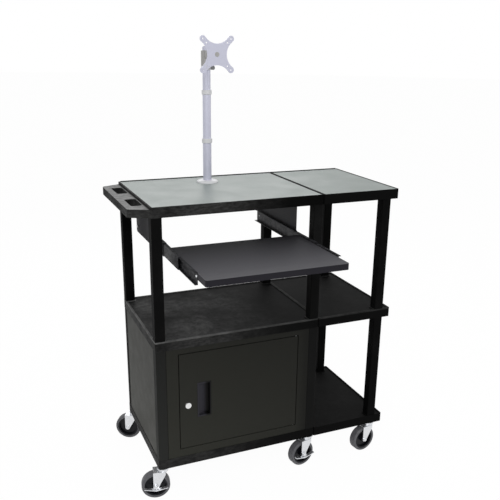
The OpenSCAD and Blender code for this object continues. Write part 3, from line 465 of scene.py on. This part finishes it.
# Door pull: a moulded resin cup set in the door, its lip on the door's face. It is shallow
# at the left and falls away at the right into a pocket for the fingers. Its color is painted
# light on the shallow slope and painted shade in the pocket.
pull_resin, tree, shader = finish("pull_resin", (0.012, 0.012, 0.015), roughness=0.5, specular=0.15)
pull_low, pull_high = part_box("door_pull")
bend = tuple(pull_low.x + share * (pull_high.x - pull_low.x) for share in (0.5, 0.72))
pocket_shade, lit_slope = (0.001, 0.001, 0.0012), (0.03, 0.029, 0.037)
place = place_of(tree)
lit_share = spread(tree, along(tree, place, "X"), bend, (1, 0))
# Painted light on the shallow slope, painted shade in the pocket.
color_with(tree, shader, between(tree, lit_share, pocket_shade, lit_slope))
relief(tree, shader, cloud(tree, place, per_metre=900, detail=2), depth=0.0002, strength=0.35)
dress(pull_resin, "door_pull")
round_edges(0.0007, "door_pull")

# Lock: a cam lock with a turning plug, held through the door by its nut. Its face is
# chromed, with small marks from the keys.
chrome, tree, shader = finish("lock_chrome", (0.78, 0.78, 0.78), roughness=0.14, metallic=1.0)
key_marks = cloud(tree, place_of(tree), per_metre=900, detail=2)
roughen(tree, shader, spread(tree, key_marks, soft_pattern, (0.1, 0.24)))
dress(chrome, "lock_body", "lock_plug")

# Tray hangers: folded steel plates screwed up under the worktop, in a powder coat that is
# darker and bluer than the cabinet's.
hangers = ("left_tray_hanger", "right_tray_hanger")
hanger_coat, tree, shader = finish("hanger_coat", (0.016, 0.0155, 0.018), roughness=0.5, specular=0.08)
place = place_of(tree)
clean_blue, dusty_blue = (0.014, 0.0135, 0.016), (0.02, 0.0195, 0.023)
mottle = spread(tree, cloud(tree, place, per_metre=9, detail=3), soft_pattern)
color_with(tree, shader, between(tree, mottle, clean_blue, dusty_blue))
relief(tree, shader, cloud(tree, place, per_metre=550, detail=2), depth=0.0002, strength=0.3)
dress(hanger_coat, *hangers)
round_edges(0.0008, *hangers)

# Tray slides: three-part ball slides of blackened steel, their outer members screwed to the
# hangers. Rolling leaves fine lines along them, and pressing leaves paler dents.
slide_steel, tree, shader = finish(
    "slide_steel", (0.02, 0.02, 0.022), roughness=0.5, metallic=0.1, specular=0.12,
)
place = place_of(tree)
rolled = cloud(tree, stretched(tree, place, (200, 4, 200)), per_metre=5, detail=3)
roughen(tree, shader, spread(tree, rolled, soft_pattern, (0.35, 0.6)))
blackened, bared = (0.008, 0.008, 0.0095), (0.04, 0.04, 0.044)
dents = cloud(tree, stretched(tree, place, (1, 1, 1.5)), per_metre=70, detail=2)
color_with(tree, shader, between(tree, spread(tree, dents, (0.45, 0.6)), blackened, bared))
dress(slide_steel, "slide_outers", "slide_middles", "slide_inners")

# Keyboard tray: a charcoal laminated board with dark edges, screwed between the slides' inner
# members. Its top is painted dark at the rear as shade under the worktop, and paler toward
# the front as a painted reflection.
board, tree, shader = finish("charcoal_board", (0.08, 0.08, 0.088), roughness=0.5, specular=0.12)
place = place_of(tree)
shaded_rear, reflecting_front, edge_band = (0.012, 0.012, 0.0135), (0.125, 0.124, 0.136), (0.017, 0.016, 0.021)
rear_to_front = (-0.02, -0.32)
grain = spread(tree, cloud(tree, place, per_metre=450, detail=3, rough=0.7), soft_pattern, (0.85, 1))
painted_reflection = product(tree, spread(tree, along(tree, place, "Y"), rear_to_front), grain)
# Painted shade at the rear under the worktop, painted reflection toward the front.
face = between(tree, painted_reflection, shaded_rear, reflecting_front)
color_with(tree, shader, between(tree, facing_up(tree), edge_band, face))
relief(tree, shader, cloud(tree, place, per_metre=1100, detail=2), depth=0.0001, strength=0.35)
dress(board, "tray_board")
round_edges(0.0015, "tray_board")

# Post and monitor plate: a stepped steel tube, capped, bolted through the worktop, and the
# cross-shaped steel plate at its head, both in silver paint with a fine metal fleck.
silver, tree, shader = finish("silver_paint", (0.64, 0.645, 0.76), roughness=0.38, metallic=0.35)
place = place_of(tree)
paint_base, paint_fleck = (0.6, 0.605, 0.73), (0.68, 0.685, 0.8)
fleck = spread(tree, cloud(tree, place, per_metre=2500, detail=1), crisp_pattern)
color_with(tree, shader, between(tree, fleck, paint_base, paint_fleck))
relief(tree, shader, cloud(tree, place, per_metre=1600, detail=2), depth=0.00008, strength=0.3)
dress(silver, "post_tube", "mounting_plate")

# Post trim: the domed flange that the post stands in, a ring over each of its steps, and
# the ring that the head rests on, turned or moulded in white plastic.
white_plastic, tree, shader = finish("white_plastic", (0.86, 0.86, 0.88), roughness=0.36)
handled_white, clean_white = (0.83, 0.83, 0.86), (0.89, 0.89, 0.9)
handling = cloud(tree, place_of(tree), per_metre=30, detail=3)
color_with(tree, shader, between(tree, handling, handled_white, clean_white))
dress(white_plastic, "post_flange", "post_rings", "height_ring")

# Monitor arm: a sleeve that turns on the post, with its forked arm, and the block that
# tilts in the fork on a bolt, both cast in light alloy and painted a duller silver.
cast, tree, shader = finish("cast_silver", (0.42, 0.41, 0.4), roughness=0.42, metallic=0.3)
thin_paint, full_paint = (0.34, 0.335, 0.33), (0.5, 0.49, 0.48)
casting_skin = cloud(tree, place_of(tree), per_metre=60, detail=4)
color_with(tree, shader, between(tree, casting_skin, thin_paint, full_paint))
dress(cast, "swivel_arm", "tilt_block")

# Clamp screw: the hand screw that holds the ring under the head at its height, moulded in
# gray plastic with a fluted grip.
knob, tree, shader = finish("knob_plastic", (0.3, 0.3, 0.3), roughness=0.4)
relief(tree, shader, cloud(tree, place_of(tree), per_metre=900, detail=2), depth=0.0002, strength=0.4)
dress(knob, "clamp_screw")

# Caster metalwork, screws and pins: steel forks pressed from sheet and riveted on their
# raceways, the two rocking brake bars, and all the small hardware, zinc-plated.
zinc, tree, shader = finish("zinc_plate", (0.72, 0.73, 0.75), roughness=0.3, metallic=0.9)
place = place_of(tree)
scratches = cloud(tree, place, per_metre=120, detail=4)
roughen(tree, shader, spread(tree, scratches, soft_pattern, (0.22, 0.42)))
dull_zinc, bright_zinc = (0.66, 0.67, 0.69), (0.78, 0.79, 0.81)
spangle = cloud(tree, place, per_metre=60, detail=4)
color_with(tree, shader, between(tree, spangle, dull_zinc, bright_zinc))
corners = ("front_left", "front_center", "front_right", "rear_left", "rear_center", "rear_right")
dress(zinc, "caster_stems", *[corner + "_fork" for corner in corners])
dress(zinc, "front_left_brake", "front_center_brake")
dress(zinc, "frame_fasteners", "tray_screws", "tilt_bolt", "door_hinge_pins")

# Wheels: cores moulded in hard dark resin, with a boss, a thin web and a rim, turning on
# the axles that are riveted through the forks.
wheel_resin, tree, shader = finish("wheel_resin", (0.004, 0.0045, 0.007), roughness=0.35, specular=0.2)
relief(tree, shader, cloud(tree, place_of(tree), per_metre=700, detail=2), depth=0.0002, strength=0.3)
dress(wheel_resin, *[corner + "_wheel" for corner in corners])

# Tyres: gray rubber that leaves no marks, with round shoulders, bonded on the wheels' rims
# and a little mottled with dust from the floor.
rubber, tree, shader = finish("gray_rubber", (0.13, 0.13, 0.14), roughness=0.55, specular=0.3)
place = place_of(tree)
clean_rubber, dusty_rubber = (0.11, 0.11, 0.12), (0.17, 0.17, 0.18)
dust = spread(tree, cloud(tree, place, per_metre=45, detail=5, rough=0.65), crisp_pattern)
color_with(tree, shader, between(tree, dust, clean_rubber, dusty_rubber))
relief(tree, shader, cloud(tree, place, per_metre=800, detail=3), depth=0.0003, strength=0.4)
dress(rubber, *[corner + "_tyre" for corner in corners])
